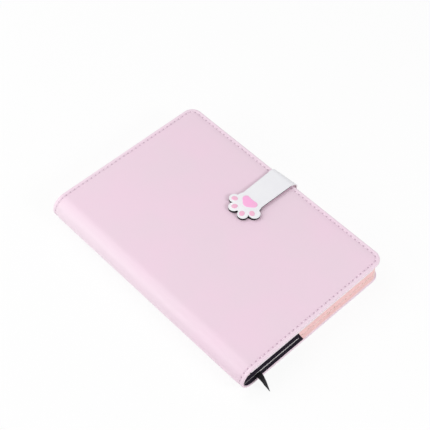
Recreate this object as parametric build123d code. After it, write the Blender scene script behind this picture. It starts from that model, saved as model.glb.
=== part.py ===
from build123d import *
import math
import os

# Diary with a padded cover and a strap clasp, lying closed on its back cover.
# Frame: X runs from the spine to the fore-edge, Y from the tail to the head and Z up.
# The origin is the middle of the back cover's underside. All sizes are in millimetres.

# Leaves
leaf_height = 210.0
section_thickness = 1.875
sections_below_ribbon = 4
sections_above_ribbon = 5
turning_sections = 2
flyleaf_thickness = 0.3
leaf_clearance = 0.1

# Cover, from its outer face inwards
case_width = 149.2
corner_radius = 10.0
leather_thickness = 0.8
foam_thickness = 0.6
board_thickness = 1.0
lining_thickness = 0.2
edge_rounding = 0.7
end_overhang = 0.5
fore_edge_overhang = 1.5
joint_gap = 1.5
layer_clearance = 0.05

# Spine
spine_half_angle = 45.0
spine_card_thickness = 1.0
gauze_thickness = 0.4
gauze_half_angle = 42.0
gauze_height = 190.0
hollow_clearance = 0.4
split_clearance = 0.05

# Seam round the three free sides of each cover
seam_margin = 3.2
seam_pitch = 4.2
stitch_length = 2.9
stitch_width = 0.6
thread_thickness = 0.3
groove_width = 1.0

# Ribbon bookmark
ribbon_width = 5.0
ribbon_thickness = 0.3
ribbon_parting = 0.5
ribbon_from_spine = 15.1
ribbon_heading = 4.1
ribbon_route = [(0.0, 0.0), (4.0, 0.0), (7.9, -3.7), (12.9, -10.0)]
ribbon_run_share = 0.45
ribbon_point_length = 5.0

# Strap and clasp
strap_face_thickness = 0.8
strap_backing_thickness = 0.5
strap_width = 22.8
neck_width = 20.0
fold_inner_radius = 1.0
strap_clearance = 0.15
strap_anchor_length = 28.0
pad_height = 0.3
pad_sinking = 0.2
table_clearance = 0.15

# Paw at the end of the strap
palm_from_fore_edge = 40.2
palm_radius = 11.0
toe_reach = [(-4.2, 10.3), (-10.3, 4.8)]
toe_radius = 4.4
notch_radius = 0.5
toe_pad_size = (5.0, 4.2)
main_pad_from_palm = 1.0
main_pad_crown_radius = 3.9
main_pad_lobe_radius = 2.9
main_pad_lobe_reach = (1.2, 4.1)
main_pad_notch = 0.7
core_thickness = 1.0
magnet_diameter = 12.0
magnet_clearance = 0.1
keeper_diameter = 14.0
keeper_thickness = 0.6

# Heights, worked out from the layers
cover_thickness = leather_thickness + foam_thickness + board_thickness + lining_thickness
section_count = sections_below_ribbon + sections_above_ribbon
leaf_space = 2 * flyleaf_thickness + section_count * section_thickness
block_thickness = leaf_space + ribbon_parting + (turning_sections + 2) * leaf_clearance
case_thickness = 2 * cover_thickness + block_thickness
cover_height = leaf_height + 2 * end_overhang
front_underside = case_thickness - cover_thickness

# Places along X
fore_edge_x = case_width / 2
spine_radius = case_thickness / 2
spine_centre_x = spine_radius - case_width / 2
leaf_fore_x = fore_edge_x - fore_edge_overhang
ribbon_exit_x = ribbon_from_spine - case_width / 2
board_spine_x = spine_centre_x + joint_gap
gauze_outer_radius = spine_radius - leather_thickness - spine_card_thickness - hollow_clearance
gauze_inner_radius = gauze_outer_radius - gauze_thickness

# Strap places: the riser stands beside the fore-edge and folds over onto the front cover
strap_thickness = strap_face_thickness + strap_backing_thickness
riser_inner_x = fore_edge_x + strap_clearance
riser_middle_x = riser_inner_x + strap_thickness / 2
root_z = strap_thickness / 2 + pad_height + table_clearance
fold_outer_radius = fold_inner_radius + strap_thickness
fold_split_radius = fold_inner_radius + strap_backing_thickness
fold_x = riser_inner_x - fold_inner_radius
arm_underside = case_thickness + leaf_clearance + core_thickness
fold_z = arm_underside - fold_inner_radius
face_underside = arm_underside + strap_backing_thickness
face_top = face_underside + strap_face_thickness
palm_centre_x = fore_edge_x - palm_from_fore_edge
main_pad_centre_x = palm_centre_x + main_pad_from_palm

nodes = {}
standing = (Align.CENTER, Align.CENTER, Align.MIN)


def slab(plan, bottom, thickness):
    """A flat piece of the given plan, from the height of its underside."""
    return Pos(0, 0, bottom) * extrude(plan, thickness)


def cover_plan(spine_end, inset):
    """Plan of a cover from spine_end to the fore-edge, drawn in on its three free sides."""
    width = fore_edge_x - inset - spine_end
    height = cover_height - 2 * inset
    plan = Pos(spine_end) * Rectangle(width, height, align=(Align.MIN, Align.CENTER))
    return fillet(plan.vertices().group_by(Axis.X)[-1], corner_radius - inset)


def leaf_plan(spine_end):
    """Plan of the leaves, whose fore-edge corners follow those of the cover."""
    width = leaf_fore_x - spine_end
    plan = Pos(spine_end) * Rectangle(width, leaf_height, align=(Align.MIN, Align.CENTER))
    return fillet(plan.vertices().group_by(Axis.X)[-1], corner_radius - fore_edge_overhang)


def bent_band(centre, radii, angles, width):
    """A band bent about the Y direction, between two angles counted from +X towards +Z."""
    start, end = angles
    inner = CenterArc((0, 0), radii[0], start, end - start)
    outer = CenterArc((0, 0), radii[1], start, end - start)
    sides = [Line(inner @ 0, outer @ 0), Line(inner @ 1, outer @ 1)]
    profile = Plane.XZ * make_face([inner, outer] + sides)
    return Pos(centre[0], 0, centre[1]) * extrude(profile, width / 2, both=True)


def seam_stitches(bottom):
    """Separate stitches along the seam, evenly spaced from one spine end to the other."""
    far = fore_edge_x - seam_margin
    side = cover_height / 2 - seam_margin
    corners = [(spine_centre_x, -side), (far, -side), (far, side), (spine_centre_x, side)]
    path = FilletPolyline(*corners, radius=corner_radius - seam_margin)
    count = round(path.length / seam_pitch)
    stitch = Box(stitch_length, stitch_width, thread_thickness, align=standing)
    stitches = []
    for number in range(count):
        along = (number + 0.5) / count
        point = path @ along
        heading = path % along
        turn = math.degrees(math.atan2(heading.Y, heading.X))
        stitches.append(Pos(point.X, point.Y, bottom) * Rot(0, 0, turn) * stitch)
    return Compound(children=stitches)


def seam_groove(bottom):
    """The pressed line that the stitches lie in."""
    outside = cover_plan(spine_centre_x, seam_margin - groove_width / 2)
    inside = cover_plan(spine_centre_x, seam_margin + groove_width / 2)
    return slab(outside - inside, bottom, thread_thickness)


def cover_leather(bottom, outer_face, layers_bottom, lip_angles, groove_bottom):
    """Leather wrapped over a cover's three free edges, with the lip that turns into the spine."""
    shell = slab(cover_plan(spine_centre_x, 0), bottom, cover_thickness)
    rim = shell.faces().sort_by(Axis.Z)[outer_face].edges()
    free_rim = rim.filter_by(lambda edge: edge.center().X > spine_centre_x + edge_rounding)
    shell = fillet(free_rim, edge_rounding)
    inside = cover_plan(spine_centre_x - joint_gap, leather_thickness)
    shell -= slab(inside, layers_bottom, cover_thickness - leather_thickness)
    shell -= seam_groove(groove_bottom)
    radii = (spine_radius - leather_thickness, spine_radius)
    return shell + bent_band((spine_centre_x, spine_radius), radii, lip_angles, cover_height)


def cover_layer(bottom, thickness):
    """A flat layer inside a cover, held by the leather's rim."""
    return slab(cover_plan(board_spine_x, leather_thickness + layer_clearance), bottom, thickness)


def make_covers():
    split = math.degrees(split_clearance / spine_radius)
    upper_lip = (90, 180 - spine_half_angle - split)
    lower_lip = (180 + spine_half_angle + split, 270)
    groove_top = case_thickness - thread_thickness
    nodes["front_leather"] = cover_leather(front_underside, -1, front_underside, upper_lip, groove_top)
    nodes["back_leather"] = cover_leather(0, 0, leather_thickness, lower_lip, 0)
    nodes["front_seam_thread"] = seam_stitches(groove_top)
    nodes["back_seam_thread"] = seam_stitches(0)

    nodes["front_lining"] = cover_layer(front_underside, lining_thickness)
    board_bottom = front_underside + lining_thickness
    nodes["front_board"] = cover_layer(board_bottom, board_thickness)
    foam_bottom = board_bottom + board_thickness
    nodes["front_foam"] = cover_layer(foam_bottom, foam_thickness)
    keeper_bottom = foam_bottom - keeper_thickness
    nodes["front_board"] -= slab(keeper_plan(magnet_clearance), keeper_bottom, keeper_thickness)
    nodes["keeper_plate"] = slab(keeper_plan(0), keeper_bottom, keeper_thickness)

    nodes["back_foam"] = cover_layer(leather_thickness, foam_thickness)
    back_board_bottom = leather_thickness + foam_thickness
    nodes["back_board"] = cover_layer(back_board_bottom, board_thickness)
    nodes["back_lining"] = cover_layer(back_board_bottom + board_thickness, lining_thickness)


def keeper_plan(clearance):
    return Pos(palm_centre_x) * Circle(keeper_diameter / 2 + clearance)


def make_spine():
    """The middle of the round spine, a card inside leather that is turned over its two ends."""
    centre = (spine_centre_x, spine_radius)
    inner_radius = spine_radius - leather_thickness - spine_card_thickness
    arc = (180 - spine_half_angle, 180 + spine_half_angle)
    card_radii = (inner_radius, spine_radius - leather_thickness)
    wrapped = bent_band(centre, (inner_radius, spine_radius), arc, cover_height)
    card_room = bent_band(centre, card_radii, arc, cover_height - 2 * leather_thickness)
    card_height = cover_height - 2 * (leather_thickness + layer_clearance)
    nodes["spine_leather"] = wrapped - card_room
    nodes["spine_card"] = bent_band(centre, card_radii, arc, card_height)


def rounded_back_x(height):
    """Where the rounded back of the leaves lies at a height."""
    radius = gauze_inner_radius - layer_clearance
    rise = height - spine_radius
    return spine_centre_x - math.sqrt(max(radius**2 - rise**2, 0))


def make_leaves():
    """Sewn sections on a rounded back, with a flyleaf at each end and room for the ribbon."""
    height = cover_thickness
    nodes["back_flyleaf"] = slab(leaf_plan(spine_centre_x), height, flyleaf_thickness)
    height += flyleaf_thickness
    for number in range(1, section_count + 1):
        turns = number > section_count - turning_sections
        if turns:
            height += leaf_clearance
        top = height + section_thickness
        furthest = max(height, top, key=lambda level: abs(level - spine_radius))
        spine_end = turning_spine_x() if turns else rounded_back_x(furthest)
        nodes[f"section_{number}"] = slab(leaf_plan(spine_end), height, section_thickness)
        height = top
        if number == sections_below_ribbon:
            make_ribbon(height + (ribbon_parting - ribbon_thickness) / 2)
            height += ribbon_parting
    flyleaf_bottom = height + leaf_clearance
    nodes["front_flyleaf"] = slab(leaf_plan(turning_spine_x()), flyleaf_bottom, flyleaf_thickness)

    radii = (gauze_inner_radius, gauze_outer_radius)
    arc = (180 - gauze_half_angle, 180 + gauze_half_angle)
    nodes["spine_gauze"] = bent_band((spine_centre_x, spine_radius), radii, arc, gauze_height)


def turning_spine_x():
    """Spine end of the leaves that turn, where the uppermost section meets the rounded back."""
    return rounded_back_x(front_underside - flyleaf_thickness - 2 * leaf_clearance)


def route_radii(points):
    """The largest bend at each inner point that leaves each run part of its length straight."""
    radii = []
    for before, point, after in zip(points, points[1:], points[2:]):
        arriving = Vector(*point) - Vector(*before)
        leaving = Vector(*after) - Vector(*point)
        half_turn = math.radians(arriving.get_angle(leaving)) / 2
        shorter = min(arriving.length, leaving.length)
        radii.append(ribbon_run_share * shorter / math.tan(half_turn))
    return radii


def make_ribbon(bottom):
    """A flat ribbon in its parting, whose pointed tail droops from the tail edge to the table."""
    exit_y = -leaf_height / 2
    middle = bottom + ribbon_thickness / 2
    place = Pos(ribbon_exit_x, exit_y, middle) * Rot(0, 0, ribbon_heading)
    radii = route_radii(ribbon_route)
    route = FilletPolyline(*ribbon_route, radius=radii)
    side = Plane((0, 0, 0), x_dir=(0, -1, 0), z_dir=(-1, 0, 0))
    start = Plane((0, 0, 0), x_dir=(1, 0, 0), z_dir=(0, -1, 0))
    section = start * Rectangle(ribbon_width, ribbon_thickness)
    tail = sweep(section, path=side * route)
    print("ribbon bends", [round(radius, 1) for radius in radii], "tail length", round(route.length, 1))
    print("ribbon volume over section times length", round(tail.volume / section.area / route.length, 3))
    tip = ribbon_route[-1][0] + ribbon_thickness
    slant = 2 * ribbon_point_length
    corners = [(0, -tip), (ribbon_width, slant - tip), (ribbon_width, -2 * tip), (0, -2 * tip)]
    waste = extrude(make_face(Polyline(*corners, close=True)), case_thickness, both=True)
    nodes["ribbon_tail"] = place * (tail - waste - mirror(waste, Plane.YZ))

    strip = Pos(ribbon_exit_x, 0, middle) * Box(ribbon_width, leaf_height, ribbon_thickness)
    past_exit = Pos(0, -ribbon_width / 2) * Box(2 * ribbon_width, ribbon_width, ribbon_parting)
    nodes["ribbon_bookmark"] = strip - place * past_exit


def clasp_plan():
    """Outline of the strap over the front cover: the arm, the palm and four toes."""
    half = strap_width / 2
    neck = neck_width / 2
    corners = [(fold_x, half), (palm_centre_x, neck), (palm_centre_x, -neck), (fold_x, -half)]
    plan = make_face(Polyline(*corners, close=True)) + Pos(palm_centre_x) * Circle(palm_radius)
    for reach_x, reach_y in toe_reach:
        for side in (1, -1):
            plan += Pos(palm_centre_x + reach_x, side * reach_y) * Circle(toe_radius)
    notches = plan.vertices().filter_by(lambda vertex: vertex.X < palm_centre_x + palm_radius)
    return fillet(notches, notch_radius)


def main_pad_plan():
    crown = Pos(main_pad_centre_x) * Circle(main_pad_crown_radius)
    lobe_x = main_pad_centre_x + main_pad_lobe_reach[0]
    lobe = Circle(main_pad_lobe_radius)
    lobes = [Pos(lobe_x, side * main_pad_lobe_reach[1]) * lobe for side in (1, -1)]
    rounds = [shape.edge() for shape in [crown] + lobes]
    plan = make_face(make_hull(rounds).edges())
    notch_x = lobe_x + main_pad_lobe_radius - main_pad_notch + main_pad_lobe_radius
    return plan - Pos(notch_x) * Circle(main_pad_lobe_radius)


def toe_pad_plans():
    plans = []
    for reach_x, reach_y in toe_reach:
        for side in (1, -1):
            turn = math.degrees(math.atan2(side * reach_y, reach_x))
            place = Pos(palm_centre_x + reach_x, side * reach_y) * Rot(0, 0, turn)
            plans.append(place * Ellipse(toe_pad_size[0] / 2, toe_pad_size[1] / 2))
    return plans


def make_strap():
    plan = clasp_plan()
    split = math.degrees(split_clearance / fold_outer_radius)
    fold = (fold_x, fold_z)
    face_radii = (fold_split_radius, fold_outer_radius)
    backing_radii = (fold_inner_radius, fold_split_radius)
    over = (45 + split, 90)
    up = (0, 45)

    face = slab(plan, face_underside, strap_face_thickness)
    face += bent_band(fold, face_radii, over, strap_width)
    backing = slab(plan, arm_underside, strap_backing_thickness)
    backing += bent_band(fold, backing_radii, over, strap_width)
    nodes["strap_arm_backing"] = backing

    pad_bottom = face_top - pad_sinking
    pad_thickness = pad_sinking + pad_height
    pads = [slab(pad_plan, pad_bottom, pad_thickness) for pad_plan in toe_pad_plans()]
    main_pad = slab(main_pad_plan(), pad_bottom, pad_thickness)
    for pad in pads + [main_pad]:
        face -= pad
    nodes["strap_arm_face"] = face
    nodes["main_pad"] = main_pad
    nodes["toe_pads"] = Compound(children=pads)

    paw_side = Pos(palm_centre_x - palm_radius) * Rectangle(2 * palm_radius, 4 * palm_radius)
    paw = plan & (paw_side + Pos(palm_centre_x) * Circle(palm_radius))
    core_bottom = arm_underside - core_thickness
    magnet = Pos(palm_centre_x) * Circle(magnet_diameter / 2)
    pocket = Pos(palm_centre_x) * Circle(magnet_diameter / 2 + magnet_clearance)
    nodes["paw_core"] = slab(paw - pocket, core_bottom, core_thickness)
    nodes["clasp_magnet"] = slab(magnet, core_bottom, core_thickness)

    nodes["strap_riser_backing"] = riser_ply(0, strap_backing_thickness, backing_radii, up)
    nodes["strap_riser_face"] = riser_ply(strap_backing_thickness, strap_thickness, face_radii, up)


def riser_ply(near, far, bend_radii, bend_angles):
    """One ply of the riser: part of the round root, the wall and its share of the fold."""
    round_radius = strap_thickness / 2
    root_angles = [-math.degrees(math.acos(depth / round_radius - 1)) for depth in (near, far)]
    root_size = root_angles[1] - root_angles[0]
    root_arc = CenterArc((riser_middle_x, root_z), round_radius, root_angles[0], root_size)
    size = bend_angles[1] - bend_angles[0]
    inner, outer = [CenterArc((fold_x, fold_z), radius, bend_angles[0], size) for radius in bend_radii]
    sides = [Line(root_arc @ 0, inner @ 0), Line(root_arc @ 1, outer @ 0), Line(inner @ 1, outer @ 1)]
    profile = Plane.XZ * make_face([root_arc, inner, outer] + sides)
    return extrude(profile, strap_width / 2, both=True)


def make_anchor():
    """The strap's thinned end, laid in the back cover's foam layer and out through its leather."""
    end_x = riser_inner_x - split_clearance
    near = (Align.MAX, Align.CENTER, Align.MIN)
    place = Pos(end_x, 0, leather_thickness)
    tab = place * Box(strap_anchor_length, strap_width, foam_thickness, align=near)
    slot_width = strap_width + 2 * layer_clearance
    slot_length = strap_anchor_length + layer_clearance
    slot = place * Box(slot_length, slot_width, foam_thickness, align=near)
    nodes["strap_anchor"] = tab
    nodes["back_foam"] -= slot
    nodes["back_leather"] -= slot


make_covers()
make_spine()
make_leaves()
make_strap()
make_anchor()

os.makedirs("parts", exist_ok=True)
for name, piece in nodes.items():
    export_step(piece, f"parts/{name}.step")
print("case", case_width, cover_height, round(case_thickness, 3), "nodes", len(nodes))
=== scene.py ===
import math
import random

import bmesh
import bpy
from mathutils import Matrix, Vector, noise


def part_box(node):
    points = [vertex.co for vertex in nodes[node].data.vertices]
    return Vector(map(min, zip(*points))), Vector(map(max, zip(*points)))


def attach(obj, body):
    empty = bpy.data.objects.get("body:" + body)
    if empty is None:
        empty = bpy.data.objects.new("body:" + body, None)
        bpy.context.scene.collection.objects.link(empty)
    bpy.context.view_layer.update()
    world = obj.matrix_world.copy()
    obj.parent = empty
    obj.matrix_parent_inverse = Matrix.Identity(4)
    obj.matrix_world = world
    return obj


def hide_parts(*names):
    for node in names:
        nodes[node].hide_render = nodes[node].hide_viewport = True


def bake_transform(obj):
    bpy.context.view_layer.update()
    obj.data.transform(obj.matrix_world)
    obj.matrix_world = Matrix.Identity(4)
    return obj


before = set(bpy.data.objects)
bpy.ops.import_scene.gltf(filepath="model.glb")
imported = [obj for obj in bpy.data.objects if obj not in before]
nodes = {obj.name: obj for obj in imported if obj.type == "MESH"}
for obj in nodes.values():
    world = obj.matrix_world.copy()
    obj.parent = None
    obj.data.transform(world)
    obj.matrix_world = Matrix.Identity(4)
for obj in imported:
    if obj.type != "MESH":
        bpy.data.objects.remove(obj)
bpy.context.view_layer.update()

# Pieces are modelled in millimetres, and brought into the frame's metres when they are done.
MM = 0.001
SLOPE = math.sqrt(0.5)

# Case
SPINE_RADIUS = 11.7875
SPINE_X = -62.8125
FORE_X = 74.6
HALF_HEIGHT = 105.5
CORNER = 9.0
HALF_ARC = SPINE_RADIUS * math.pi / 2
HALF_SHEET = HALF_ARC + FORE_X - SPINE_X
COVER_THICKNESS = 2.6
SPINE_THICKNESS = 1.85
LEATHER = 0.55
CARD_ARC = 0.55 * HALF_ARC

# Soft unevenness of the padded field
SWELL = 0.06
SWELL_LENGTHS = (46, 52)
SWELL_START = 5
SWELL_REACH = 12

# Seam, and the lengths of its line on half of the flat sheet
SEAM_MARGIN = 3.2
SEAM_PITCH = 4.209
SEAM_PHASE = HALF_ARC / SEAM_PITCH
SEAM_HEIGHT = -0.78
SEAM_STRAIGHT = HALF_SHEET - CORNER
SEAM_SIDE = HALF_HEIGHT - CORNER
SEAM_RADIUS = CORNER - SEAM_MARGIN
SEAM_BEND = SEAM_RADIUS * math.pi / 2
SEAM_LENGTH = 2 * (SEAM_STRAIGHT + SEAM_BEND + SEAM_SIDE)

# Stitches and needle holes
STITCH_LENGTH = 3.0
STITCH_CUTS = (-1.35, -0.95, -0.3, 0.3, 0.95, 1.35)
STITCH_TAPER = 0.35
STITCH_RISE = 0.2
STITCH_DIP = 0.52
THREAD_RADIUS = 0.3
HOLE_RADIUS = 0.62
HOLE_BODY = 0.3
HOLE_RIM = 0.16
HOLE_DISH = 0.1
HOLE_SINK = 0.08

# Leather's height over the padding, by depth in from the outline: rolled edge, bead, seam, field
LEATHER_PROFILE = [
    (0.0, -1.2), (0.1, -0.85), (0.3, -0.6), (0.7, -0.42), (1.3, -0.34), (1.9, -0.37),
    (2.45, -0.5), (2.85, -0.68), (3.2, SEAM_HEIGHT), (3.55, -0.68), (4.0, -0.52), (4.8, -0.36),
    (5.9, -0.22), (7.4, -0.11), (9.2, -0.04),
]
# Turned-in edge: depth in from the outline, and share of the cover's thickness there
TURNED_EDGE = [
    (0.0, 0.72), (0.1, 0.88), (0.35, 0.97), (0.9, 1.0), (2.6, 1.0), (5.2, 0.93), (7.5, 0.9),
]
TURN_DEPTH = 0.9
PROUD_OF_CARD = 0.25

# Cuts across the flat sheet, close together where it rolls round the spine
SHEET_END_CUTS = [0.1, 0.35, 0.8]
SPINE_CUTS = 14
HINGE_CUTS = (1.4, 3.0, 5.0, 8.0)
FIELD_STEP = 6.1
CROSS_STEP = 6.2


# Modelling


def active(name):
    """The piece that was just added, under its name."""
    piece = bpy.context.active_object
    piece.name = name
    piece.data.name = name
    return piece


def add_shape(name, operator, **settings):
    """A basic shape, added with nothing else selected."""
    bpy.ops.object.select_all(action="DESELECT")
    operator(**settings)
    return active(name)


def only(piece):
    """Leaves this piece alone selected and active."""
    bpy.ops.object.select_all(action="DESELECT")
    piece.select_set(True)
    bpy.context.view_layer.objects.active = piece


def edit(piece):
    only(piece)
    bpy.ops.object.mode_set(mode="EDIT")


def done():
    bpy.ops.object.mode_set(mode="OBJECT")


def pick(piece, kind, rule):
    """Selects the vertices, edges or faces that a rule accepts, on a piece in edit mode."""
    bpy.ops.mesh.select_mode(type=kind)
    bpy.ops.mesh.select_all(action="DESELECT")
    mesh = bmesh.from_edit_mesh(piece.data)
    for element in {"VERT": mesh.verts, "EDGE": mesh.edges, "FACE": mesh.faces}[kind]:
        if rule(element):
            element.select_set(True)
    bmesh.update_edit_mesh(piece.data)


def cut(point, normal, **settings):
    """Cuts the whole piece in edit mode along a plane."""
    bpy.ops.mesh.select_all(action="SELECT")
    bpy.ops.mesh.bisect(plane_co=point, plane_no=normal, threshold=0.001, **settings)


def extrude(*offset):
    bpy.ops.mesh.extrude_region_move(TRANSFORM_OT_translate={"value": offset})


def face_outward():
    bpy.ops.mesh.select_all(action="SELECT")
    bpy.ops.mesh.normals_make_consistent(inside=False)


def thicken(piece, thickness, **settings):
    only(piece)
    modifier = piece.modifiers.new("Solidify", "SOLIDIFY")
    modifier.thickness = thickness
    for key, value in settings.items():
        setattr(modifier, key, value)
    bpy.ops.object.modifier_apply(modifier=modifier.name)


def add_map(piece, name, places):
    """A surface map, given by the place of each vertex on it."""
    layer = piece.data.uv_layers.new(name=name)
    for loop in piece.data.loops:
        layer.data[loop.index].uv = places[loop.vertex_index]


def duplicate(piece, name):
    copy = piece.copy()
    copy.data = piece.data.copy()
    copy.name = name
    copy.data.name = name
    bpy.context.scene.collection.objects.link(copy)
    return copy


def join(pieces, name):
    only(pieces[0])
    for piece in pieces:
        piece.select_set(True)
    bpy.ops.object.join()
    return active(name)


def finish_piece(piece, slot, *materials, sharp=40):
    """Shading, place in the frame and materials of a finished piece; its slot is not used."""
    only(piece)
    bpy.ops.object.shade_smooth_by_angle(angle=math.radians(sharp))
    piece.data.transform(Matrix.Scale(MM, 4))
    piece.data.update()
    indices = [polygon.material_index for polygon in piece.data.polygons]
    piece.data.materials.clear()
    for material in materials:
        piece.data.materials.append(material)
    piece.data.polygons.foreach_set("material_index", indices)


def share(distance, reach):
    """Share of a reach that a distance covers, from 0 to 1."""
    return min(max(distance / reach, 0.0), 1.0)


def eased(part):
    """A share with a soft start and end."""
    return part * part * (3 - 2 * part)


def ray(angle):
    return Vector((math.cos(angle), math.sin(angle)))


def bend_line(hinge, heading, before, after):
    """Start and end of the bend at a hinge, in metres."""
    return (hinge - heading * before) * MM, (hinge + heading * after) * MM


# Node trees


class Nodes:
    """Adds nodes to a tree; their inputs are numbers, colours or other nodes' sockets."""

    def __init__(self, tree):
        self.tree = tree

    def put(self, socket, value):
        if isinstance(value, bpy.types.NodeSocket):
            self.tree.links.new(value, socket)
        else:
            socket.default_value = value

    def add(self, kind, inputs=None, **settings):
        node = self.tree.nodes.new(kind)
        for key, value in settings.items():
            setattr(node, key, value)
        for key, value in (inputs or {}).items():
            self.put(node.inputs[key], value)
        return node.outputs

    def effect(self, group, **inputs):
        return self.add("ShaderNodeGroup", inputs, node_tree=group)

    def calc(self, operation, first, second=0.0, third=0.0):
        inputs = {0: first, 1: second, 2: third}
        return self.add("ShaderNodeMath", inputs, operation=operation)[0]

    def times(self, first, *others):
        for other in others:
            first = self.calc("MULTIPLY", first, other)
        return first

    def remap(self, value, low, high, to_low=0.0, to_high=1.0):
        """A value carried from one range to another, with a soft start and end."""
        inputs = {0: value, 1: low, 2: high, 3: to_low, 4: to_high}
        return self.add("ShaderNodeMapRange", inputs, interpolation_type="SMOOTHSTEP")[0]

    def mix(self, factor, first, second):
        return self.add("ShaderNodeMix", {0: factor, 6: first, 7: second}, data_type="RGBA")[2]

    def lay_over(self, base, *coats):
        """Lays colours over a base one after the other, each where its mask is."""
        for mask, colour in coats:
            base = self.mix(mask, base, colour)
        return base

    def fractal(self, place, scale, detail, roughness=0.5):
        inputs = {"Vector": place, "Scale": scale, "Detail": detail, "Roughness": roughness}
        return self.add("ShaderNodeTexNoise", inputs)["Fac"]

    def split(self, place):
        return self.add("ShaderNodeSeparateXYZ", {"Vector": place})

    def object_place(self):
        return self.add("ShaderNodeTexCoord")["Object"]

    def map_place(self, layer):
        return self.add("ShaderNodeUVMap", uv_map=layer)["UV"]


class Surface(Nodes):
    """Nodes of a new material, with settings for the sockets of its Principled shader."""

    def __init__(self, name, **settings):
        self.material = bpy.data.materials.new(name)
        self.material.use_nodes = True
        super().__init__(self.material.node_tree)
        self.shader = self.tree.nodes["Principled BSDF"]
        for key, value in settings.items():
            self.put(self.shader.inputs[key.replace("_", " ")], value)

    def finish(self, colour, height, strength, distance):
        """The material, given its colour and its fine relief."""
        inputs = {"Strength": strength, "Distance": distance, "Height": height}
        self.put(self.shader.inputs["Base Color"], colour)
        self.put(self.shader.inputs["Normal"], self.add("ShaderNodeBump", inputs)["Normal"])
        return self.material


def linear(red, green, blue):
    """A colour as it looks, in shares of full, made linear for the shader."""
    parts = (red, green, blue)
    steps = [c / 12.92 if c <= 0.04045 else ((c + 0.055) / 1.055) ** 2.4 for c in parts]
    return (*steps, 1.0)


def darker(colour, part):
    return (*(part * step for step in colour[:3]), 1.0)


# Shared effects


def new_effect(name, sizes, outputs):
    """Nodes of a group that takes a place and sizes and puts out values, with its two ends."""
    group = bpy.data.node_groups.new(name, "ShaderNodeTree")
    sockets = [("Vector", "INPUT", "NodeSocketVector")]
    sockets += [(socket, "INPUT", "NodeSocketFloat") for socket in sizes]
    sockets += [(socket, "OUTPUT", "NodeSocketFloat") for socket in outputs]
    for socket, end, kind in sockets:
        made = group.interface.new_socket(name=socket, in_out=end, socket_type=kind)
        if socket in sizes:
            made.default_value = sizes[socket]
    given = group.nodes.new("NodeGroupInput").outputs
    return Nodes(group), given, group.nodes.new("NodeGroupOutput").inputs


def make_leather_grain():
    """Pebbled grain of coated leather with a faint unevenness of its colour."""
    sizes = {"Pebble": 900.0, "Mottle": 18.0}
    tree, given, out = new_effect("leather_grain", sizes, ("Height", "Tone"))
    place = given["Vector"]
    inputs = {"Vector": place, "Scale": given["Pebble"], "Randomness": 1.0}
    pebble = tree.add("ShaderNodeTexVoronoi", inputs, feature="SMOOTH_F1")
    lumps = tree.calc("SUBTRACT", 1.0, pebble["Distance"])
    pores = tree.fractal(place, tree.times(given["Pebble"], 0.6), 3.0, 0.6)
    tree.put(out["Height"], tree.calc("MULTIPLY_ADD", pores, 0.6, lumps))
    mottle = tree.fractal(place, given["Mottle"], 2.0)
    tree.put(out["Tone"], tree.remap(mottle, 0.3, 0.7))
    return tree.tree


def make_paper_fibre():
    """Fibres and faint clouds of uncoated paper."""
    tree, given, out = new_effect("paper_fibre", {"Fibre": 2500.0}, ("Height", "Cloud"))
    place = given["Vector"]
    tree.put(out["Height"], tree.fractal(place, given["Fibre"], 4.0, 0.7))
    cloud = tree.fractal(place, tree.times(given["Fibre"], 0.05), 3.0)
    tree.put(out["Cloud"], tree.remap(cloud, 0.3, 0.7))
    return tree.tree


def make_cloth_weave():
    """Plain weave of threads along two directions of a surface map in metres."""
    tree, given, out = new_effect("cloth_weave", {"Threads": 3000.0}, ("Height", "Gap"))
    place = tree.split(given["Vector"])
    waves = []
    for axis in ("X", "Y"):
        turns = tree.times(place[axis], given["Threads"], math.pi)
        waves.append(tree.calc("ABSOLUTE", tree.calc("SINE", turns)))
    crossing = tree.calc("MAXIMUM", *waves)
    tree.put(out["Height"], crossing)
    tree.put(out["Gap"], tree.remap(crossing, 0.25, 0.6, 1.0, 0.0))
    return tree.tree


leather_grain = make_leather_grain()
paper_fibre = make_paper_fibre()
cloth_weave = make_cloth_weave()


# Materials; places are in metres, in the frame or on a piece's map

TAIL_Y = -0.105
PARTING_Z = 0.01065
UNDYED_Z = 0.01855
DARK_SLANT = 0.459
RULE_STEP = 0.0035
RULE_HALF = 0.00014
RULED_HALF_HEIGHT = 0.0945
RULED_HALF_WIDTH = 0.0585
LEAF_LINES = 9000.0


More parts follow.
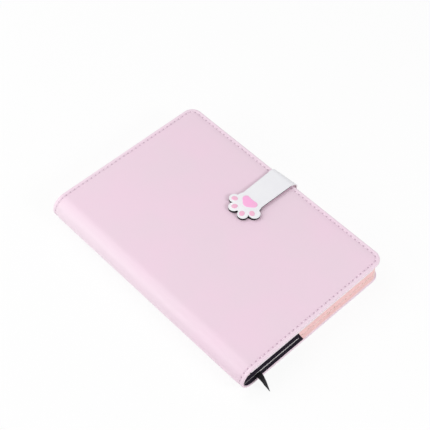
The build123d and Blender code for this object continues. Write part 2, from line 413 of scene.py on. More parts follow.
def seam_marks(tree, base, height):
    """Colour and relief of leather with its seam and rolled edge, with painted highlights and
    shade.

    Map 'hide' is the flat cut; map 'seam' counts stitches along the seam and millimetres in.
    """
    flat = tree.split(tree.map_place("hide"))
    seam = tree.split(tree.map_place("seam"))
    depth = seam["Y"]
    off_hole = tree.calc("SUBTRACT", seam["X"], SEAM_PHASE)
    off_hole = tree.times(tree.calc("WRAP", off_hole, 0.5, -0.5), SEAM_PITCH)
    off_seam = tree.calc("SUBTRACT", depth, SEAM_MARGIN)
    squares = tree.calc("MULTIPLY_ADD", off_hole, off_hole, tree.times(off_seam, off_seam))
    from_hole = tree.calc("SQRT", squares)
    off_seam = tree.calc("ABSOLUTE", off_seam)

    # Painted highlight: the spine's leather is paler, more so towards the head.
    spine_highlight = tree.times(
        tree.remap(flat["X"], 0.006, 0.019, 1.0, 0.0), tree.remap(flat["Y"], -0.1, 0.06, 0.1, 1.0)
    )
    # Painted highlight: the border bead outside the seam is paler.
    border_highlight = tree.times(tree.remap(depth, 1.8, 2.8, 0.4, 0.0), tree.remap(depth, -5.0, -4.0))
    # Painted shade: darker pink along the seam's groove.
    groove_shade = tree.remap(off_seam, 0.25, 0.8, 0.3, 0.0)
    # Painted shade: the rolled edge is greyer on every side but the tail, which the lamps light.
    rolled = tree.times(
        tree.remap(depth, 0.1, 0.6, 0.55, 0.0), tree.remap(depth, -2.5, -1.0),
        tree.remap(flat["Y"], -0.1035, -0.1015),
    )
    # Painted shade: dark dots round each needle hole.
    hole_shade = tree.remap(from_hole, 0.45, 0.9, 0.45, 0.0)
    base = tree.lay_over(
        base, (spine_highlight, linear(0.926, 0.845, 0.890)), (border_highlight, linear(0.965, 0.89, 0.935)),
        (groove_shade, linear(0.86, 0.73, 0.81)), (rolled, linear(0.82, 0.75, 0.79)),
        (hole_shade, linear(0.58, 0.42, 0.53)),
    )
    pucker = tree.remap(tree.calc("ABSOLUTE", off_hole), 0.0, SEAM_PITCH / 2)
    near = tree.remap(off_seam, 0.0, 2.6, 1.0, 0.0)
    return base, tree.calc("MULTIPLY_ADD", tree.times(pucker, near), 14.0, height)


def coated_leather(name, colour, shade, roughness, seam=False):
    """Coated leather on a piece whose map 'hide' is its flat cut."""
    tree = Surface(
        name, Roughness=roughness, Specular_IOR_Level=0.5, Sheen_Weight=0.08,
        Sheen_Roughness=0.45, Coat_Weight=0.12, Coat_Roughness=0.35,
    )
    grain = tree.effect(leather_grain, Vector=tree.map_place("hide"), Pebble=1100.0, Mottle=22.0)
    base, height = tree.mix(grain["Tone"], colour, shade), grain["Height"]
    if seam:
        base, height = seam_marks(tree, base, height)
    return tree.finish(base, height, 0.25, 0.00003)


def woven(name, layer, threads, colour, gap_colour, strength, distance, **settings):
    """Cloth woven along the two directions of a piece's map."""
    tree = Surface(name, **settings)
    weave = tree.effect(cloth_weave, Vector=tree.map_place(layer), Threads=threads)
    base = tree.mix(weave["Gap"], colour, gap_colour)
    return tree.finish(base, weave["Height"], strength, distance)


def thread_material():
    """Thread of three strands twisted along its map 'strand'."""
    tree = Surface("seam_thread", Roughness=0.6, Sheen_Weight=0.2)
    place = tree.split(tree.map_place("strand"))
    turns = tree.calc("ADD", place["X"], place["Y"])
    twist = tree.calc("SINE", tree.times(turns, 2 * math.pi * 3))
    strand = tree.calc("MULTIPLY_ADD", twist, 0.5, 0.5)
    base = tree.mix(strand, linear(0.93, 0.83, 0.89), linear(0.99, 0.94, 0.97))
    return tree.finish(base, strand, 0.5, 0.00008)


def dark_run(tree, at):
    """Mask of the leaves' dark part, from the spine to a slanting line, and the place along it."""
    slant = tree.calc("MULTIPLY_ADD", at["Z"], DARK_SLANT, at["X"])
    return tree.remap(slant, -0.0098, -0.0092, 1.0, 0.0), slant


def paper_material(name, colour, cloud_colour, ruled=False, dye_reach=0.0):
    """Paper faces; ruled lines, and dye that crept in from the tail, where they are asked for."""
    tree = Surface(name, Roughness=0.85)
    place = tree.object_place()
    at = tree.split(place)
    fibre = tree.effect(paper_fibre, Vector=place)
    base = tree.mix(fibre["Cloud"], colour, cloud_colour)
    if dye_reach:
        crept = tree.remap(at["Y"], 0.8 * dye_reach + TAIL_Y, dye_reach + TAIL_Y, 1.0, 0.0)
        crept = tree.times(crept, dark_run(tree, at)[0])
        base = tree.mix(crept, base, linear(0.08, 0.07, 0.11))
    if ruled:
        step = tree.calc("PINGPONG", tree.calc("ADD", at["Y"], 0.5), RULE_STEP)
        masks = [tree.calc("LESS_THAN", step, RULE_HALF)]
        for axis, limit in (("Y", RULED_HALF_HEIGHT), ("X", RULED_HALF_WIDTH)):
            masks.append(tree.calc("LESS_THAN", tree.calc("ABSOLUTE", at[axis]), limit))
        base = tree.mix(tree.times(*masks, 0.6), base, linear(0.72, 0.66, 0.72))
    return tree.finish(base, fibre["Height"], 0.25, 0.00003)


def dyed_edge_material(name, with_dark):
    """Dyed leaf edges: peach with flecks, and a dark run with a bare parting on the tail."""
    tree = Surface(name, Roughness=0.85, Specular_IOR_Level=0.0)
    place = tree.object_place()
    at = tree.split(place)
    fibre = tree.effect(paper_fibre, Vector=place, Fibre=3500.0)
    cloud = fibre["Cloud"]
    squeezed = tree.add("ShaderNodeMapping", {"Vector": place, "Scale": (1.0, 1.0, 1.2)})[0]
    inputs = {"Vector": squeezed, "Scale": 430.0, "Randomness": 1.0}
    flecks = tree.add("ShaderNodeTexVoronoi", inputs)
    kind = tree.add("ShaderNodeSeparateColor", {"Color": flecks["Color"]})
    off_parting = tree.calc("ABSOLUTE", tree.calc("SUBTRACT", at["Z"], PARTING_Z))
    spot = tree.times(
        tree.remap(flecks["Distance"], 0.25, 0.45, 1.0, 0.0),
        tree.remap(off_parting, 0.0015, 0.0035, 1.0, 0.25),
    )
    pale = tree.times(spot, tree.remap(kind["Red"], 0.58, 0.62), 0.8)
    deep = tree.times(spot, tree.remap(kind["Green"], 0.70, 0.74), 0.75)
    # Painted highlight: the leaves' edges are paler towards the bottom.
    low_highlight = tree.remap(at["Z"], 0.0028, 0.0050, 0.4, 0.0)
    peach = tree.mix(cloud, linear(0.985, 0.815, 0.812), linear(0.965, 0.79, 0.792))
    base = tree.lay_over(
        peach, (pale, linear(1.0, 0.92, 0.86)), (deep, linear(0.80, 0.63, 0.58)),
        (low_highlight, linear(0.99, 0.95, 0.94)),
    )
    if with_dark:
        dark, slant = dark_run(tree, at)
        ink = tree.mix(cloud, linear(0.145, 0.125, 0.165), linear(0.175, 0.155, 0.19))
        bare = tree.times(
            tree.remap(off_parting, 0.00055, 0.0007, 1.0, 0.0),
            tree.remap(slant, -0.0127, -0.0117, 1.0, 0.0),
            tree.remap(at["X"], -0.0625, -0.0590, 0.3, 1.0),
        )
        base = tree.lay_over(base, (dark, ink), (bare, linear(0.98, 0.97, 0.97)))
    undyed = tree.remap(at["Z"], UNDYED_Z, UNDYED_Z + 0.0001)
    base = tree.mix(undyed, base, linear(0.955, 0.92, 0.94))
    lines = tree.calc("SINE", tree.times(at["Z"], 2 * math.pi * LEAF_LINES))
    height = tree.calc("MULTIPLY_ADD", lines, 0.06, fibre["Height"])
    return tree.finish(base, height, 0.3, 0.00002)


def pad_material(name, colour, shade):
    """Soft rubber with a fine grain."""
    tree = Surface(name, Roughness=0.42)
    grain = tree.effect(leather_grain, Vector=tree.object_place(), Pebble=1800.0, Mottle=160.0)
    base = tree.mix(grain["Tone"], colour, shade)
    return tree.finish(base, grain["Height"], 0.15, 0.00002)


def board_material(name, colour, fleck_colour):
    """Pressed board with flecks of its pulp."""
    tree = Surface(name, Roughness=0.9, Specular_IOR_Level=0.15)
    fibre = tree.effect(paper_fibre, Vector=tree.object_place(), Fibre=1400.0)
    base = tree.mix(tree.remap(fibre["Height"], 0.45, 0.7), colour, fleck_colour)
    return tree.finish(base, fibre["Height"], 0.4, 0.00008)


def edge_paint_material():
    """Paint on the strap's cut edge, dark at the paw, and pale at the fold as painted light."""
    tree = Surface("edge_paint", Roughness=0.9, Specular_IOR_Level=0.15)
    place = tree.map_place("hide")
    fibre = tree.effect(paper_fibre, Vector=place, Fibre=1400.0)
    paint = tree.mix(fibre["Cloud"], linear(0.10, 0.09, 0.10), linear(0.07, 0.06, 0.07))
    # Painted light: the edge is pale round the fold, against the shade there.
    fold_highlight = tree.remap(tree.split(place)["X"], 0.0695, 0.0735)
    base = tree.mix(fold_highlight, paint, linear(0.94, 0.91, 0.93))
    return tree.finish(base, fibre["Height"], 0.4, 0.00008)


def steel_material(name, colour, roughness, streak_scale):
    """Plated or brushed metal with fine streaks."""
    tree = Surface(name, Metallic=1.0)
    inputs = {"Vector": tree.object_place(), "Scale": (1.0, 0.04, 1.0)}
    streaks = tree.fractal(tree.add("ShaderNodeMapping", inputs)[0], streak_scale, 4.0)
    rough = tree.remap(streaks, 0.3, 0.7, roughness - 0.06, roughness + 0.08)
    tree.put(tree.shader.inputs["Roughness"], rough)
    base = tree.mix(streaks, colour, darker(colour, 0.85))
    return tree.finish(base, streaks, 0.15, 0.00002)


PAPER = (linear(0.965, 0.95, 0.925), linear(0.955, 0.935, 0.91))
BACKING = linear(0.93, 0.88, 0.90)

pink_leather = coated_leather(
    "pink_leather", linear(0.938, 0.824, 0.889), linear(0.926, 0.830, 0.884), 0.46, seam=True
)
pink_backing = woven(
    "pink_leather_back", "hide", 2200.0, BACKING, darker(BACKING, 0.72), 0.5, 0.0001, Roughness=0.9
)
white_leather = coated_leather(
    "white_leather", linear(0.955, 0.955, 0.965), linear(0.94, 0.94, 0.955), 0.42
)
strap_lining = coated_leather(
    "strap_lining", linear(0.975, 0.91, 0.945), linear(0.96, 0.895, 0.93), 0.5
)
edge_paint = edge_paint_material()
seam_thread = thread_material()
# The needle holes' pits are coloured dark: painted shade in the holes.
needle_hole = board_material("needle_hole", linear(0.46, 0.30, 0.42), linear(0.40, 0.25, 0.36))
page_paper = paper_material("page_paper", *PAPER, ruled=True, dye_reach=0.0006)
fold_paper = paper_material("fold_paper", *PAPER, dye_reach=0.0035)
endpaper = paper_material("endpaper", linear(0.955, 0.90, 0.925), linear(0.945, 0.885, 0.915))
tail_edge = dyed_edge_material("tail_edge", True)
leaf_edge = dyed_edge_material("leaf_edge", False)
ribbon_satin = woven(
    "satin_ribbon", "strip", 3200.0, linear(0.08, 0.07, 0.09), linear(0.04, 0.035, 0.045),
    0.35, 0.00006, Roughness=0.45, Specular_IOR_Level=0.1,
)
main_pad_pink = pad_material("main_pad_pink", linear(1.0, 0.70, 0.89), linear(0.98, 0.72, 0.87))
toe_pad_pink = pad_material("toe_pad_pink", linear(0.97, 0.71, 0.83), linear(0.95, 0.76, 0.84))
grey_board = board_material("grey_board", linear(0.62, 0.60, 0.56), linear(0.52, 0.50, 0.47))
dark_core = board_material("paw_core", linear(0.10, 0.09, 0.10), linear(0.07, 0.06, 0.07))
gauze = woven(
    "bookbinders_gauze", "strip", 900.0, linear(0.95, 0.94, 0.90), linear(0.80, 0.74, 0.62),
    0.8, 0.0002, Roughness=0.9,
)
magnet_plating = steel_material("magnet_plating", linear(0.80, 0.80, 0.81), 0.22, 900.0)
keeper_steel = steel_material("keeper_steel", linear(0.66, 0.66, 0.67), 0.38, 2500.0)


# Leather case


def interpolate(points, value):
    """Height on a profile given by points, straight between them."""
    for (before, low), (after, high) in zip(points, points[1:]):
        if value <= after:
            return low + (high - low) * (value - before) / (after - before)
    return points[-1][1]


def from_edges(run, y):
    """Distances of a point of the flat sheet from fore-edge and end; is it in a round corner."""
    from_fore = HALF_SHEET - run
    from_end = HALF_HEIGHT - abs(y)
    return from_fore, from_end, from_fore < CORNER and from_end < CORNER


def depth_in(run, y):
    """How far a point of the flat sheet lies in from its outline."""
    from_fore, from_end, in_corner = from_edges(run, y)
    if in_corner:
        return CORNER - math.hypot(CORNER - from_fore, CORNER - from_end)
    return min(from_fore, from_end)


def step_in(run, y, distance):
    """A point of the outline moved straight in from it."""
    from_fore, from_end, in_corner = from_edges(run, y)
    side = 1 if y > 0 else -1
    if in_corner:
        out = Vector((CORNER - from_fore, CORNER - from_end)).normalized()
        return run - out.x * distance, y - side * out.y * distance
    if from_fore < from_end:
        return run - distance, y
    return run, y - side * distance


def seam_run(run, y):
    """Distance along the seam, from the spine's tail end, to the place nearest a point."""
    from_fore, from_end, in_corner = from_edges(run, y)
    if in_corner:
        turned = math.atan2(CORNER - from_fore, CORNER - from_end) / (math.pi / 2)
        along = SEAM_STRAIGHT + SEAM_BEND * turned
    elif from_fore < from_end:
        return SEAM_STRAIGHT + SEAM_BEND + y + SEAM_SIDE
    else:
        along = run
    return along if y < 0 else SEAM_LENGTH - along


def roll(face, run, y, height):
    """Place on the case of a point of the flat sheet; face is 1 for the front, -1 for the back."""
    radius = SPINE_RADIUS + height
    if run <= HALF_ARC:
        turn = run / SPINE_RADIUS
        x = SPINE_X - radius * math.cos(turn)
        return Vector((x, y, SPINE_RADIUS + face * radius * math.sin(turn)))
    return Vector((SPINE_X + run - HALF_ARC, y, SPINE_RADIUS + face * radius))


def turned_height(run, depth, part):
    """Height of the turned-in edge, which stands a little proud of the spine card."""
    on_board = eased(share(run - CARD_ARC, HALF_ARC - CARD_ARC))
    thickness = SPINE_THICKNESS + (COVER_THICKNESS - SPINE_THICKNESS) * on_board
    proud = PROUD_OF_CARD * (1 - on_board) * min(depth / TURN_DEPTH, 1.0)
    if depth > TURN_DEPTH:
        part += (1 - part) * (1 - on_board)
    return -part * thickness - proud


def flat_half_sheet():
    """Half of the leather sheet, flat, with rings along its outline and its turned-in edge."""
    sheet = add_shape("flat_sheet", bpy.ops.mesh.primitive_plane_add, size=2)
    sheet.scale = (HALF_SHEET, HALF_HEIGHT, 1)
    bpy.ops.object.transform_apply(scale=True)
    edit(sheet)
    bpy.ops.mesh.select_all(action="SELECT")
    bpy.ops.mesh.bevel(offset=CORNER, segments=14, profile=0.5, affect="VERTICES")
    pick(sheet, "FACE", lambda face: True)
    for (before, _), (after, _) in zip(LEATHER_PROFILE, LEATHER_PROFILE[1:]):
        bpy.ops.mesh.inset(thickness=after - before, use_boundary=True, use_even_offset=True)
    runs = SHEET_END_CUTS + [HALF_ARC * step / SPINE_CUTS for step in range(1, SPINE_CUTS + 1)]
    runs += [HALF_ARC + more for more in HINGE_CUTS]
    runs += [HALF_ARC + HINGE_CUTS[-1] + FIELD_STEP * step for step in range(1, 20)]
    for run in runs:
        cut((run, 0, 0), (1, 0, 0))
    for step in range(-15, 16):
        cut((0, CROSS_STEP * step, 0), (0, 1, 0))
    cut((0, 0, 0), (1, 0, 0), clear_inner=True)
    pick(sheet, "EDGE", lambda edge: edge.is_boundary and max(v.co.x for v in edge.verts) > 0.01)
    for _ in TURNED_EDGE:
        bpy.ops.mesh.extrude_edges_move(TRANSFORM_OT_translate={"value": (0, 0, -1)})
    face_outward()
    done()
    return sheet


def leather_half(name, sheet, face):
    """One half of the leather, rolled round the spine and pinched at its seam."""
    half = duplicate(sheet, name)
    mesh = bmesh.new()
    mesh.from_mesh(half.data)
    if sum(f.normal.z * f.calc_area() for f in mesh.faces) * face < 0:
        bmesh.ops.reverse_faces(mesh, faces=mesh.faces)
    hide = mesh.loops.layers.uv.new("hide")
    seam = mesh.loops.layers.uv.new("seam")
    places = {}
    for vertex in mesh.verts:
        run, y, level = vertex.co
        ring = round(-level)
        if ring:
            depth, part = TURNED_EDGE[ring - 1]
            height = turned_height(run, depth, part)
            places[vertex] = (*step_in(run, y, depth), height, -ring)
        else:
            depth = depth_in(run, y)
            soft = noise.noise(Vector((run / SWELL_LENGTHS[0], y / SWELL_LENGTHS[1], 2.7 * face)))
            swell = SWELL * (soft - 1) * share(depth - SWELL_START, SWELL_REACH)
            places[vertex] = (run, y, interpolate(LEATHER_PROFILE, depth) + swell, depth)
    for polygon in mesh.faces:
        for loop in polygon.loops:
            run, y, _, depth = places[loop.vert]
            loop[hide].uv = (run * MM, y * MM)
            loop[seam].uv = (seam_run(run, y) / SEAM_PITCH, depth)
    for vertex, (run, y, height, _) in places.items():
        vertex.co = roll(face, run, y, height)
    mesh.to_mesh(half.data)
    mesh.free()
    thicken(half, LEATHER, offset=-1, use_even_offset=False, material_offset=1)
    return half


def seam_places():
    """Places and headings of the stitches on the flat half sheet, from the spine's middle on."""
    on_cover = SEAM_LENGTH - 2 * HALF_ARC
    count = round(on_cover / SEAM_PITCH)
    pitch = on_cover / count
    extra = int(HALF_ARC / pitch)
    along = [HALF_ARC + (number + 0.5) * pitch for number in range(-extra, count + extra)]
    places = []
    for run in [0.0] + along:
        mirror = run > SEAM_LENGTH / 2
        run = SEAM_LENGTH - run if mirror else run
        past = run - SEAM_STRAIGHT
        if past <= 0:
            point, heading = Vector((run, SEAM_MARGIN - HALF_HEIGHT)), 0.0
        elif past <= SEAM_BEND:
            heading = past / SEAM_RADIUS
            x = SEAM_STRAIGHT + SEAM_RADIUS * math.sin(heading)
            point = Vector((x, -SEAM_SIDE - SEAM_RADIUS * math.cos(heading)))
        else:
            point = Vector((HALF_SHEET - SEAM_MARGIN, past - SEAM_BEND - SEAM_SIDE))
            heading = math.pi / 2
        if mirror:
            point.y, heading = -point.y, -heading
        places.append((point, heading))
    places.append((Vector((0.0, HALF_HEIGHT - SEAM_MARGIN)), 0.0))
    return places


def seam_gaps(places):
    """Middles of the gaps between neighbouring stitches, brought out onto the seam's line."""
    gaps = []
    for (point, heading), (after, after_heading) in zip(places, places[1:]):
        middle = (point + after) / 2
        over = depth_in(*middle) - SEAM_MARGIN
        if over > 0:
            middle = Vector(step_in(*middle, -over))
        gaps.append((middle, (heading + after_heading) / 2))
    return gaps


def one_stitch():
    """A stitch along X whose ends dip into the needle holes."""
    stitch = add_shape(
        "stitch", bpy.ops.mesh.primitive_cylinder_add, vertices=6, radius=THREAD_RADIUS,
        depth=STITCH_LENGTH, rotation=(0, math.pi / 2, 0),
    )
    bpy.ops.object.transform_apply(rotation=True)
    edit(stitch)
    for x in STITCH_CUTS:
        cut((x, 0, 0), (1, 0, 0))
    done()
    places = [vertex.co for vertex in stitch.data.vertices]
    turn = 2 * math.pi
    add_map(
        stitch, "strand", [(at.x / STITCH_LENGTH, math.atan2(at.z, at.y) / turn) for at in places]
    )
    for vertex in stitch.data.vertices:
        along = abs(vertex.co.x) / (STITCH_LENGTH / 2)
        vertex.co.yz *= 1.0 - STITCH_TAPER * along**4
        vertex.co.z += STITCH_RISE - STITCH_DIP * along**3
    return stitch


def one_needle_hole():
    """A shallow dished pit."""
    hole = add_shape(
        "hole", bpy.ops.mesh.primitive_cylinder_add, vertices=10, radius=HOLE_RADIUS,
        depth=HOLE_BODY,
    )
    edit(hole)
    pick(hole, "FACE", lambda face: face.normal.z > 0.9)
    bpy.ops.mesh.inset(thickness=HOLE_RIM)
    bpy.ops.transform.translate(value=(0, 0, -HOLE_DISH))
    done()
    return hole


def along_seam(name, pattern, face, places, height):
    """Copies of a small piece along the seam, each laid on the rolled leather."""
    copies = []
    for point, heading in places:
        copy = duplicate(pattern, name)
        turn = Matrix.Rotation(heading, 3, "Z")
        for vertex in copy.data.vertices:
            local = turn @ vertex.co
            flat = point + local.xy
            side = -face if flat.x < 0 else face
            vertex.co = roll(side, abs(flat.x), flat.y, height + local.z)
        if face < 0:
            copy.data.flip_normals()
        copies.append(copy)
    return join(copies, name)


def make_case():
    sheet = flat_half_sheet()
    places = seam_places()
    hole_places = seam_gaps(places)
    stitch = one_stitch()
    hole = one_needle_hole()
    made = {}
    for side, face in (("front", 1), ("back", -1)):
        skin = leather_half(f"{side}_cover_leather", sheet, face)
        finish_piece(skin, "cover_leather", pink_leather, pink_backing, sharp=50)
        own = places if face > 0 else places[1:-1]
        stitches = along_seam(f"{side}_seam", stitch, face, own, SEAM_HEIGHT)
        finish_piece(stitches, "thread", seam_thread, sharp=70)
        sunk = SEAM_HEIGHT - HOLE_SINK
        holes = along_seam(f"{side}_needle_holes", hole, face, hole_places, sunk)
        finish_piece(holes, "cover_leather", needle_hole, sharp=60)
        made[side] = (skin, stitches, holes)
    for piece in made["front"]:
        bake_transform(piece)
    for piece in made["back"]:
        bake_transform(piece)
    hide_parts("front_leather", "front_foam", "spine_leather")
    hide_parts("back_leather", "back_foam")
    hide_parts("front_seam_thread")
    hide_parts("back_seam_thread")
    for pattern in (sheet, stitch, hole):
        bpy.data.objects.remove(pattern)


# Leaves

LEAF_CORNER = 9.5
LEAVES_PER_SECTION = 12
LEAF_FILL = 0.985
END_STEP = 0.0015
FORE_STEP = 0.15
FORE_LEAN = 0.16
LEAN_START = 6.0
BACK_RADIUS = 9.1375
TURNING_SECTIONS = {"section_9": "first_section", "section_8": "second_section"}


def one_leaf(name, low, high, thickness, corner=LEAF_CORNER):
    """A folded leaf with its two fore-edge corners rounded."""
    leaf = add_shape(name, bpy.ops.mesh.primitive_plane_add, size=1)
    size = high - low
    leaf.scale = (size.x, size.y, 1)
    leaf.location = ((low.x + high.x) / 2, (low.y + high.y) / 2, low.z)
    bpy.ops.object.transform_apply(location=True, scale=True)
    edit(leaf)
    pick(leaf, "VERT", lambda vertex: vertex.co.x > (low.x + high.x) / 2)
    bpy.ops.mesh.bevel(offset=corner, segments=8, profile=0.5, affect="VERTICES")
    bpy.ops.mesh.select_all(action="SELECT")
    extrude(0, 0, thickness)
    face_outward()
    done()
    return leaf


def make_section(node, body, draw):
    """A section as a stack of leaves that don't quite line up, with a rounded back."""
    low, high = [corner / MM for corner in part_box(node)]
    pitch = (high.z - low.z) / LEAVES_PER_SECTION
    leaves = []
    for number in range(LEAVES_PER_SECTION):
        bottom = low.z + number * pitch
        middle = bottom + pitch / 2
        spine_end = low.x
        if node not in TURNING_SECTIONS:
            spine_end = SPINE_X - math.sqrt(BACK_RADIUS**2 - (middle - SPINE_RADIUS) ** 2)
        corner_low = Vector((spine_end, low.y + draw.uniform(0, END_STEP), bottom))
        lean = FORE_LEAN * max(middle - LEAN_START, 0.0)
        fore_end = high.x - lean - draw.uniform(0, FORE_STEP)
        corner_high = Vector((fore_end, high.y - draw.uniform(0, END_STEP), bottom))
        leaves.append(one_leaf(node, corner_low, corner_high, pitch * LEAF_FILL))
    section = join(leaves, f"{node}_leaves")
    for polygon in section.data.polygons:
        if abs(polygon.normal.z) > 0.5:
            polygon.material_index = 0
        elif polygon.normal.x < -0.5:
            polygon.material_index = 3
        elif polygon.normal.y < -0.3:
            polygon.material_index = 1
        else:
            polygon.material_index = 2
    finish_piece(section, "page_paper", page_paper, tail_edge, leaf_edge, fold_paper, sharp=30)
    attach(section, body)
    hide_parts(node)


def make_leaves():
    draw = random.Random(7)
    for number in range(1, 10):
        node = f"section_{number}"
        make_section(node, TURNING_SECTIONS.get(node, "back_cover"), draw)


# Ribbon

RIBBON_WIDTH = 5.0
RIBBON_THICKNESS = 0.24
RIBBON_EXIT = Vector((-59.5, -105.0, 10.65))
RIBBON_HEADING = math.radians(4.1)
RIBBON_TAIL = [(4.0, 0.0), (7.9, -3.7), (12.9, -10.0)]
RIBBON_FREE = 17.2
RIBBON_TWIST_RUN = 0.55 * RIBBON_FREE
RIBBON_POINT = 8.2
RIBBON_TIP = 0.05
RIBBON_TWIST = math.radians(-30)
# Places across the ribbon and its height there, with firm selvedges
RIBBON_ACROSS = [-1.0, -0.86, -0.5, 0.0, 0.5, 0.86, 1.0]
RIBBON_CROWN = [0.05, 0.09, 0.03, 0.0, 0.03, 0.09, 0.05]


def ribbon_points():
    """Control points of the ribbon's line: from the head, along its parting, out and down."""
    out = Vector((math.sin(RIBBON_HEADING), -math.cos(RIBBON_HEADING), 0))
    head = Vector((RIBBON_EXIT.x, -RIBBON_EXIT.y, RIBBON_EXIT.z))
    before = RIBBON_EXIT + Vector((0, RIBBON_TAIL[0][0], 0))
    tail = [RIBBON_EXIT + out * away + Vector((0, 0, rise)) for away, rise in RIBBON_TAIL]
    return [head, before, RIBBON_EXIT] + tail


def smooth_line(name, points, steps):
    """Points read from the smooth curve that the control points give."""
    data = bpy.data.curves.new(name, "CURVE")
    data.dimensions = "3D"
    data.resolution_u = steps
    spline = data.splines.new("NURBS")
    spline.points.add(len(points) - 1)
    for place, point in zip(spline.points, points):
        place.co = (*point, 1.0)
    spline.order_u = 3
    spline.use_endpoint_u = True
    curve = bpy.data.objects.new(name, data)
    bpy.context.scene.collection.objects.link(curve)
    bpy.context.view_layer.update()
    mesh = bpy.data.meshes.new_from_object(curve)
    line = [vertex.co.copy() for vertex in mesh.vertices]
    bpy.data.objects.remove(curve)
    bpy.data.meshes.remove(mesh)
    return line


def make_ribbon():
    """A satin ribbon that twists a little as its pointed tail droops."""
    line = smooth_line("ribbon_line", ribbon_points(), 16)
    lengths = [0.0]
    for before, after in zip(line, line[1:]):
        lengths.append(lengths[-1] + (after - before).length)
    total = lengths[-1]
    ribbon = add_shape(
        "ribbon", bpy.ops.mesh.primitive_grid_add, x_subdivisions=len(RIBBON_ACROSS) - 1,
        y_subdivisions=len(line) - 1, size=1,
    )
    flat = []
    for vertex in ribbon.data.vertices:
        row, column = divmod(vertex.index, len(RIBBON_ACROSS))
        across = RIBBON_ACROSS[column]
        before = line[max(row - 1, 0)]
        after = line[min(row + 1, len(line) - 1)]
        heading = (after - before).normalized()
        left = total - lengths[row]
        free = share(RIBBON_FREE - left, RIBBON_TWIST_RUN)
        side = heading.cross(Vector((0, 0, 1))).normalized()
        side = Matrix.Rotation(RIBBON_TWIST * eased(free), 3, heading) @ side
        up = side.cross(heading)
        half = RIBBON_WIDTH / 2 * min(1.0, RIBBON_TIP + left / RIBBON_POINT)
        crown = up * RIBBON_CROWN[column] * half / RIBBON_WIDTH * 2
        vertex.co = line[row] + side * across * half + crown
        flat.append((across * RIBBON_WIDTH / 2 * MM, lengths[row] * MM))
    add_map(ribbon, "strip", flat)
    thicken(ribbon, RIBBON_THICKNESS, offset=0)
    finish_piece(ribbon, "ribbon", ribbon_satin, sharp=60)
    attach(ribbon, "back_cover")
    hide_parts("ribbon_bookmark", "ribbon_tail")


# Strap and paw

STRAP_HALF = 11.4
TAIL_SIDE_TRIM = 0.9
PALM = Vector((34.4, 0.0))
PALM_RADIUS = 11.0
TOES = [((-4.3, 10.5), 4.2), ((-10.5, 4.9), 4.2), ((-10.6, -5.0), 4.2), ((-3.7, -10.7), 4.6)]
NOTCH_FIRMNESS = 5.0
PAW_START = math.radians(64)
PAW_STEPS = 132
ARM_START = PALM.x + 8.0
ARM_UNDERSIDE = 24.675
FACE_UNDERSIDE = 25.175
FACE_TOP = 25.975
LAYER_GAP = 0.01
FACE_ROUND = 0.22
BACKING_ROUND = 0.1
FACE_OVERHANG = 0.16
RIM_UNDERSIDE = 24.6
RIM_WIDTH = FACE_OVERHANG - 0.02
RIM_END_X = PALM.x + 6.0

# Fold over the fore-edge, and how it settles, stands off and leans
FOLD = Vector((71.75, 0, 21.675))
FOLD_HINGE = Vector((75.3763, 0, 25.3013))
FOLD_REACH = (1.6, 5.2)
FOLD_RUN = 3.0
FOLD_RISE = 2.0
ARM_SETTLED_X = 60.0
ARM_DROP = 0.4
DROP_START_Z = 18.5
FOLD_BULGE = 2.0
FOLD_LEAN = 0.9
BULGE_TOP_Z = 26.0
BULGE_RAMP = 2.0
BULGE_PEAK = 6.75

# Riser, and the thinned end that is tucked into the back cover
STRAP_SPLIT = 9.0
RISER_X = 74.75
ROOT = Vector((75.4, 0, 1.1))
ROOT_REACH = 1.6
TUCK = Vector((74.45, 0, 2.0))
TUCK_TOP_Z = 3.0
TUCK_DEPTH = 1.8
SKIVED_SHARE = 0.154
SKIVED_Z = 1.05
ANCHOR_END_X = 46.75
RISER_CUTS = (20.2, 18.5, 16.5, 14.5, 12.5, 10.7, STRAP_SPLIT, 5.0, TUCK_TOP_Z, TUCK.z)

# Pads
TOE_PADS = [(-4.3, 10.3), (-9.8, 4.9), (-10.6, -4.0), (-4.9, -9.3)]
TOE_PAD_SIZE = (5.0, 4.2)
TOE_PAD_STEPS = 28
MAIN_PAD = PALM + Vector((1.0, 0.0))
MAIN_PAD_ROUNDS = [((-0.8, 0.0), 4.1), ((1.2, 4.1), 2.9), ((1.2, -4.1), 2.9)]
MAIN_PAD_STEPS = 56
MAIN_PAD_NOTCH = 0.5
MAIN_PAD_NOTCH_HALF = 1.9
PAD_SUNK = 0.15
PAD_WALL = 0.1
PAD_CROWN = ((0.12, 0.09), (0.25, 0.06), (0.5, 0.03))


def paw_radius(angle):
    """Reach of the paw's outline from the palm's centre, rounded in the notches between toes."""
    reaches = [PALM_RADIUS]
    for toe, radius in TOES:
        toe = Vector(toe)
        along = ray(angle).dot(toe)
        off = toe.length_squared - along * along
        if off < radius**2 and along > 0:
            reaches.append(along + math.sqrt(radius**2 - off))
    peak = max(reaches)
    total = sum(math.exp(NOTCH_FIRMNESS * (reach - peak)) for reach in reaches)
    return peak + math.log(total) / NOTCH_FIRMNESS


def strap_outline():
    """Outline of the arm and paw, counter-clockwise from the fold's tail corner."""
    points = [Vector((FOLD.x, TAIL_SIDE_TRIM - STRAP_HALF)), Vector((FOLD.x, STRAP_HALF))]
    for step in range(PAW_STEPS + 1):
        angle = PAW_START + (2 * math.pi - 2 * PAW_START) * step / PAW_STEPS
        points.append(PALM + ray(angle) * paw_radius(angle))
    return points


def widen(outline, distance):
    """The outline moved outwards, apart from the fold's end, which stays in its plane."""
    moved = []
    for place, point in enumerate(outline):
        run = outline[(place + 1) % len(outline)] - outline[place - 1]
        out = Vector((run.y, -run.x)).normalized()
        if point.x > FOLD.x - 0.01:
            out = Vector((0, 1 if point.y > 0 else -1))
        moved.append(point + out * distance)
    return moved


